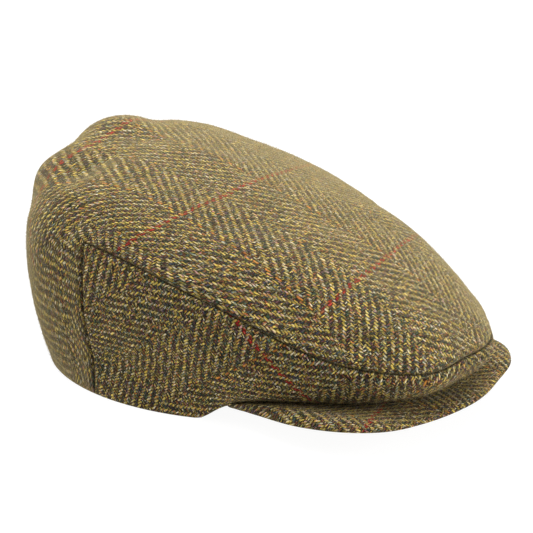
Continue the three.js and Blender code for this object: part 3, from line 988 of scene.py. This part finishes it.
def side_panel(name, side):
    columns, rows = SIDE_PLAN_GRID
    plan = PanelPlan(
        np.sort(np.linspace(0, REAR_SEAM_TURN, columns) * side), np.linspace(0, SEAM_RING, rows),
        lambda t, r: r > 0, side_plan_start,
        (side * SIDE_ANCHOR[0], SIDE_ANCHOR[1]), (side * SIDE_AHEAD[0], SIDE_AHEAD[1]),
    )
    rings = graded(0, SEAM_RING, LOWER_STEP, (SEAM_RING,), *FINE_RINGS)
    return cloth(
        name, [(np.sort(side_turns * side), rings)], plan, side_weave(side),
        lambda points, weave: np.clip((weave[:, 1] - SIDE_CHECK_FROM) / SIDE_CHECK_FADE, 0, 1),
        SIDE_TWEED,
    )


# Peak

PEAK_COLUMNS = 181
PEAK_FLAT_ROWS = 36
PEAK_ROUND_ROWS = 17
PEAK_WEAVE_TURN = 19  # degrees from the peak's middle line
PEAK_WEAVE_SHIFT = 84.8  # mm, puts the red line where the photograph has it


def peak_point(turn, share, side):
    """Point at a share of the peak's depth, on its upper side (1) or its underside (-1)."""
    sine, cosine = np.sin(np.radians(turn)), np.cos(np.radians(turn))
    root = 1 / np.hypot(sine / (OPENING_WIDTH / 2), cosine / (OPENING_LENGTH / 2))
    end = np.clip((np.abs(turn) - PEAK_END_TURN) / (PEAK_TIP_TURN - PEAK_END_TURN), 0, 1)
    taper = np.sqrt(1 - PEAK_END_TAPER * end**2)
    depth = table_curve(PEAK_OUTLINE, 1, turn) * PEAK_DEPTH * taper
    edge = table_curve(PEAK_OUTLINE, 2, turn) * PEAK_EDGE_HEIGHT
    half_thickness = table_curve(PEAK_OUTLINE, 3, turn) * PEAK_THICKNESS / 2 * taper
    swell = table_curve(PEAK_OUTLINE, 4, turn) * PEAK_SWELL
    crown_turn = np.degrees(np.arctan2(
        root * sine / (CROWN_WIDTH / 2), (OPENING_TO_SUMMIT + root * cosine) / FRONT_REACH))
    root_height = hem_height(crown_turn) - PEAK_SEAT_GAP * taper - half_thickness
    past = np.clip((share - PEAK_ROUND_FROM) / (1 - PEAK_ROUND_FROM), 0, 1)
    half = half_thickness * np.sqrt(1 - past**2)
    out = np.maximum(share, 0)
    middle = root_height + (edge - root_height) * out
    power = PEAK_SWELL_AT / (1 - PEAK_SWELL_AT)
    middle += swell * (out / PEAK_SWELL_AT) ** power * (1 - out) / (1 - PEAK_SWELL_AT)
    middle += PEAK_LIP_RISE * np.clip((-share - PEAK_LIP_BEND) / (PEAK_LIP - PEAK_LIP_BEND), 0, 1)
    reach = root + depth * share
    return np.stack([
        reach * sine, SUMMIT_Y - OPENING_TO_SUMMIT - reach * cosine, middle + side * half,
    ], -1)


def peak_weave(loops, turns, root):
    """Weave by the cloth's length from the root, over the top and round the edge."""
    steps = np.linalg.norm(np.diff(loops, axis=1, prepend=loops[:, :1]), axis=2)
    far = np.cumsum(steps, axis=1)
    far -= far[:, root:root + 1]
    level = np.stack([np.sin(np.radians(turns)), -np.cos(np.radians(turns))], -1)
    flat = loops[:, root:root + 1, :2] + far[:, :, None] * level[:, None]
    x, y = flat.reshape(-1, 2).T / MM
    tilt = math.radians(PEAK_WEAVE_TURN)
    u = x * math.cos(tilt) + y * math.sin(tilt)
    v = y * math.cos(tilt) - x * math.sin(tilt) + PEAK_WEAVE_SHIFT
    return np.column_stack([u, v, 0 * u])


def peak():
    """Padded crescent, drawn as loops round it from tip to tip, with both tips closed."""
    turns = np.linspace(-PEAK_TIP_TURN, PEAK_TIP_TURN, PEAK_COLUMNS)
    arc = np.sin(np.linspace(0, math.pi / 2, PEAK_ROUND_ROWS))
    shares = np.concatenate([
        (-PEAK_LIP, -PEAK_LIP_BEND), np.linspace(0, PEAK_ROUND_FROM, PEAK_FLAT_ROWS)[:-1],
        PEAK_ROUND_FROM + (1 - PEAK_ROUND_FROM) * arc,
    ])
    loop = [(s, 1) for s in shares] + [(s, -1) for s in shares[-2::-1]]
    size = len(loop)
    share, side = np.tile(loop, (len(turns), 1)).T
    points = peak_point(np.repeat(turns, size), share, side)
    weave = peak_weave(points.reshape(len(turns), size, 3), turns, loop.index((0, 1)))
    faces = []
    for i in range(len(turns) - 1):
        for j in range(size):
            a, b = i * size + j, i * size + (j + 1) % size
            faces.append((a, b, b + size, a + size))
    for first, flip in ((0, False), ((len(turns) - 1) * size, True)):
        for j in range(size // 2):
            a, b = first + j, first + j + 1
            c, d = first + size - 1 - j, first + size - 2 - j
            face = (a, c, d, b) if b != d else (a, c, b)
            faces.append(tuple(reversed(face)) if flip else face)
    on_top = side > 0
    piece = new_object("peak_cloth", points, faces, PEAK_TWEED, weave=weave,
                       overcheck=on_top.astype(float))
    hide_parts("peak")
    return points, [face for face in faces if on_top[list(face)].any()]


# Nap

FIBRE_WIDTH = 0.07 * MM
FIBRE_LENGTH = (0.6 * MM, 2.0 * MM)
FIBRES_PER_AREA = 0.65 / MM**2
FIBRE_LEAN = 0.9


def nap(name, points, faces, seed):
    """Loose fibres that stand off the cloth, each a slim closed spike."""
    rng = np.random.default_rng(seed)
    corners = np.array([f[:3] for f in faces] + [(f[0], f[2], f[3]) for f in faces if len(f) > 3])
    a, b, c = (points[corners[:, k]] for k in range(3))
    cross = np.cross(b - a, c - a)
    double_area = np.linalg.norm(cross, axis=1)
    count = int(double_area.sum() / 2 * FIBRES_PER_AREA)
    chosen = rng.choice(len(corners), count, p=double_area / double_area.sum())
    s, t = rng.random((2, count, 1))
    s, t = np.where(s + t > 1, 1 - s, s), np.where(s + t > 1, 1 - t, t)
    root = a[chosen] + (b - a)[chosen] * s + (c - a)[chosen] * t
    lean = rng.normal(size=(count, 3)) * FIBRE_LEAN
    along = (cross / double_area[:, None])[chosen] + lean
    below = (along * cross[chosen]).sum(1) < 0
    along[below] *= -1
    along /= np.linalg.norm(along, axis=1, keepdims=True)
    length = rng.uniform(*FIBRE_LENGTH, size=(count, 1))
    side = np.cross(along, rng.normal(size=(count, 3)))
    side *= FIBRE_WIDTH / 2 / np.linalg.norm(side, axis=1, keepdims=True)
    other = np.cross(along, side)
    third = 2 * math.pi / 3
    foot = [root + side * math.cos(k * third) + other * math.sin(k * third) for k in range(3)]
    spikes = np.stack(foot + [root + along * length], 1).reshape(-1, 3)
    spikes[:, 2] = np.maximum(spikes[:, 2], 0)
    first = 4 * np.arange(count)[:, None, None]
    spike_faces = (first + np.array([(0, 2, 1), (0, 1, 3), (1, 2, 3), (2, 0, 3)])).reshape(-1, 3)
    shade = np.repeat(rng.random(count), 4)
    new_object(name, spikes, spike_faces, NAP, shade=shade)


skins = {
    "top_panel": top_panel(),
    "side_panel_right": side_panel("side_panel_right", -1),
    "side_panel_left": side_panel("side_panel_left", 1),
    "peak": peak(),
}
for number, (name, (points, faces)) in enumerate(skins.items()):
    nap(f"{name}_nap", points, faces, number)


# Floor, lights and camera

FLOOR_SIZE = 12
FLOOR_DROP = 0.0002
LIGHT_TARGET = Vector((0, 0, 0.05))
# name, place, diameter and power
LIGHTS = [
    ("overhead", (0.1, 0.3, 1.6), 1.6, 36),
    ("far_side", (1.3, 0.4, 0.9), 0.9, 10),
    ("front", (0.8, -1.4, 0.5), 0.9, 21),
    ("back", (-0.6, 1.4, 0.8), 0.9, 10),
]
WORLD_LIGHT = 0.5
CAMERA_PLACE = (-0.89412, -0.67602, 0.44572)
CAMERA_TARGET = Vector((0.0108, 0.0080, 0.0537))
CAMERA_LENS = 150
CAMERA_SENSOR = 36
CAMERA_CLIP = 30

bpy.ops.mesh.primitive_plane_add(size=FLOOR_SIZE, location=(0, 0, -FLOOR_DROP))
floor = bpy.context.object
floor.name = "floor"
floor.data.materials.append(floor_material())


def aimed(name, data, place, target):
    """Object for a light or a camera that looks from its place at the target."""
    thing = bpy.data.objects.new(name, data)
    bpy.context.scene.collection.objects.link(thing)
    thing.location = place
    thing.rotation_euler = (target - thing.location).to_track_quat("-Z", "Y").to_euler()
    return thing


for name, place, diameter, power in LIGHTS:
    light = bpy.data.lights.new(name, "AREA")
    light.shape = "DISK"
    light.size = diameter
    light.energy = power
    aimed(name, light, place, LIGHT_TARGET)

world = bpy.data.worlds.new("studio")
bpy.context.scene.world = world
world.use_nodes = True
world.node_tree.nodes["Background"].inputs["Color"].default_value = WHITE
world.node_tree.nodes["Background"].inputs["Strength"].default_value = WORLD_LIGHT

camera = bpy.data.cameras.new("camera")
camera.lens = CAMERA_LENS
camera.sensor_width = CAMERA_SENSOR
camera.clip_end = CAMERA_CLIP
bpy.context.scene.camera = aimed("camera", camera, CAMERA_PLACE, CAMERA_TARGET)
bpy.context.scene.view_settings.view_transform = "Standard"
